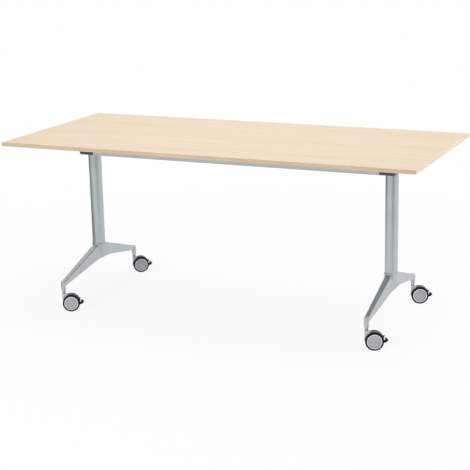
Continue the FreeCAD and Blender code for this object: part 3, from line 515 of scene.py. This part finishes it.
def make_lever_ribs():
    """Finger ribs across both faces of the lock lever, near its tip."""
    count, pitch, inset, width, height = 6, 0.006, 0.003, 0.0024, 0.0008
    plate_half, tip_depth, tip_gap = 0.003, 0.001, 0.028
    low, high = (Vector(corner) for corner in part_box("lock_lever"))
    hub = joint_places["lock_turn"] * Vector((0, 1, 1))
    points = [vertex.co for vertex in nodes["lock_lever"].data.vertices]
    far = min(point.y for point in points)
    tips = [point.z for point in points if point.y < far + tip_depth]
    reach = Vector((0, far, sum(tips) / len(tips))) - hub
    along = reach.normalized()
    normal = Vector((0, -along.z, along.y))
    if normal.z < 0:
        normal.negate()
    shape = bmesh.new()
    for step in range(count):
        middle = hub + along * (reach.length - tip_gap - step * pitch)
        for way in (-1, 1):
            start, end = (Vector((x, middle.y, middle.z)) + normal * (way * plate_half)
                          for x in (low.x + inset, high.x - inset))
            add_rib(shape, start, end, normal * way, width, height)
    add_piece("lock_lever_ribs", shape, black, "lock")


make_drive_faces()
make_weld_beads()
make_pedal_ribs()
make_lever_ribs()


# Studio: pale floor that fades to white, soft lamps, white behind everything and in reflections
def seen_directly(tree):
    """1 for what the camera sees, also in a reflection or through glass."""
    path = tree.nodes.new("ShaderNodeLightPath")
    total = path.outputs["Is Camera Ray"]
    for name in ("Is Glossy Ray", "Is Transmission Ray"):
        add = tree.nodes.new("ShaderNodeMath")
        add.operation = "MAXIMUM"
        tree.links.new(total, add.inputs[0])
        tree.links.new(path.outputs[name], add.inputs[1])
        total = add.outputs[0]
    return total


def make_floor():
    """Pale floor that takes the shadow near the table and turns white further out."""
    near, far, near_glow = 1.0, 2.6, 0.88
    bpy.ops.mesh.primitive_plane_add(size=60, location=(0, 0, -0.0005))
    floor = bpy.context.object
    floor.name = "studio_floor"
    material = bpy.data.materials.new("studio_floor")
    material.use_nodes = True
    tree = material.node_tree
    tree.nodes.clear()
    output = tree.nodes.new("ShaderNodeOutputMaterial")
    matt = tree.nodes.new("ShaderNodeBsdfDiffuse")
    matt.inputs["Color"].default_value = (0.93, 0.93, 0.93, 1)
    glow = tree.nodes.new("ShaderNodeEmission")
    glow.inputs["Color"].default_value = (1, 1, 1, 1)
    place = tree.nodes.new("ShaderNodeTexCoord")
    length = vector_step(tree, "LENGTH", place.outputs["Object"])
    fade = tree.nodes.new("ShaderNodeMapRange")
    fade.interpolation_type = "SMOOTHSTEP"
    fade.inputs["From Min"].default_value = near
    fade.inputs["From Max"].default_value = far
    fade.inputs["To Min"].default_value = near_glow
    tree.links.new(length.outputs["Value"], fade.inputs["Value"])
    share = tree.nodes.new("ShaderNodeMath")
    share.operation = "MULTIPLY"
    tree.links.new(fade.outputs["Result"], share.inputs[0])
    tree.links.new(seen_directly(tree), share.inputs[1])
    blend = tree.nodes.new("ShaderNodeMixShader")
    tree.links.new(share.outputs[0], blend.inputs["Fac"])
    tree.links.new(matt.outputs["BSDF"], blend.inputs[1])
    tree.links.new(glow.outputs["Emission"], blend.inputs[2])
    tree.links.new(blend.outputs["Shader"], output.inputs["Surface"])
    floor.data.materials.append(material)


def make_world():
    """White where it is seen, and a soft light on matt surfaces that grows to the right and the back."""
    light_way, dimmest, brightest = (0.5, 0.3, 0.12), 0.1, 1.0
    world = bpy.data.worlds.new("studio_world")
    bpy.context.scene.world = world
    world.use_nodes = True
    tree = world.node_tree
    tree.nodes.clear()
    output = tree.nodes.new("ShaderNodeOutputWorld")
    ambient = tree.nodes.new("ShaderNodeBackground")
    ambient.inputs["Color"].default_value = (0.97, 0.985, 1, 1)
    place = tree.nodes.new("ShaderNodeTexCoord")
    along = vector_step(tree, "DOT_PRODUCT", place.outputs["Generated"], light_way)
    level = tree.nodes.new("ShaderNodeMapRange")
    level.interpolation_type = "SMOOTHSTEP"
    level.inputs["From Min"].default_value = -0.5
    level.inputs["From Max"].default_value = 0.55
    level.inputs["To Min"].default_value = dimmest
    level.inputs["To Max"].default_value = brightest
    tree.links.new(along.outputs["Value"], level.inputs["Value"])
    tree.links.new(level.outputs["Result"], ambient.inputs["Strength"])
    white = tree.nodes.new("ShaderNodeBackground")
    white.inputs["Color"].default_value = (1, 1, 1, 1)
    white.inputs["Strength"].default_value = 1
    blend = tree.nodes.new("ShaderNodeMixShader")
    tree.links.new(seen_directly(tree), blend.inputs["Fac"])
    tree.links.new(ambient.outputs["Background"], blend.inputs[1])
    tree.links.new(white.outputs["Background"], blend.inputs[2])
    tree.links.new(blend.outputs["Shader"], output.inputs["Surface"])


def lamp(name, place, target, size, power):
    """White area lamp that doesn't show in reflections."""
    data = bpy.data.lights.new(name, "AREA")
    data.shape = "RECTANGLE"
    data.size, data.size_y = size
    data.energy = power
    made = bpy.data.objects.new(name, data)
    bpy.context.scene.collection.objects.link(made)
    made.location = place
    made.visible_glossy = False
    made.rotation_euler = (Vector(target) - Vector(place)).to_track_quat("-Z", "Y").to_euler()


def make_flag(name, span, outline, grey):
    """Bent grey card that only shows in reflections, to shape the light on the metal.

    The span is from lowest to highest y, and the outline is of (x, z) points.
    """
    mesh = bpy.data.meshes.new(name)
    vertices = [(x, y, z) for x, z in outline for y in span]
    faces = [(2 * step, 2 * step + 1, 2 * step + 3, 2 * step + 2) for step in range(len(outline) - 1)]
    mesh.from_pydata(vertices, [], faces)
    card = bpy.data.objects.new(name, mesh)
    bpy.context.scene.collection.objects.link(card)
    material, tree, shader = new_material(name)
    shader.inputs["Base Color"].default_value = (grey, grey, grey, 1)
    shader.inputs["Roughness"].default_value = 1
    mesh.materials.append(material)
    for kind in ("camera", "diffuse", "transmission", "volume_scatter", "shadow"):
        setattr(card, "visible_" + kind, False)


make_floor()
make_world()
make_flag("left_flag", (-1.2, 4.5), [(-1.0, 0.003), (-3.2, 0.003), (-4.2, 1.0), (-4.4, 3.2)], 0.22)
make_flag("right_flag", (-4.2, -0.7), [(1.3, 0.003), (3.2, 0.003), (4.2, 1.0), (4.4, 2.6)], 0.45)
lamp("key", (-1.5, -5.4, 2.9), (0, 0, 0.4), (1.7, 0.9), 150)
lamp("fill", (4.6, -0.4, 1.5), (0.6, 0, 0.6), (1.2, 1.6), 26)
lamp("overhead", (0.2, 0.6, 3.6), (0, 0, 0.7), (3.2, 2.2), 36)

# Camera at the photograph's place, with the focal length in pixels of a picture PIXELS wide
PIXELS = 470
FOCAL = 1253.0
SENSOR = 36
YAW, PITCH, ROLL = (math.radians(angle) for angle in (24.43, 14.79, -1.21))
PLACE = Vector((2.1417, -4.7383, 1.6952))
forward = Vector((-math.sin(YAW) * math.cos(PITCH), math.cos(YAW) * math.cos(PITCH), -math.sin(PITCH)))
right = Vector((math.cos(YAW), math.sin(YAW), 0))
up = right.cross(forward)
right, up = (right * math.cos(ROLL) + up * math.sin(ROLL), up * math.cos(ROLL) - right * math.sin(ROLL))
camera_data = bpy.data.cameras.new("camera")
camera_data.sensor_width = SENSOR
camera_data.lens = FOCAL * SENSOR / PIXELS
camera_data.clip_end = 100
camera = bpy.data.objects.new("camera", camera_data)
bpy.context.scene.collection.objects.link(camera)
camera.matrix_world = Matrix.Translation(PLACE) @ Matrix((right, up, -forward)).transposed().to_4x4()
bpy.context.scene.camera = camera
bpy.context.scene.view_settings.view_transform = "Standard"
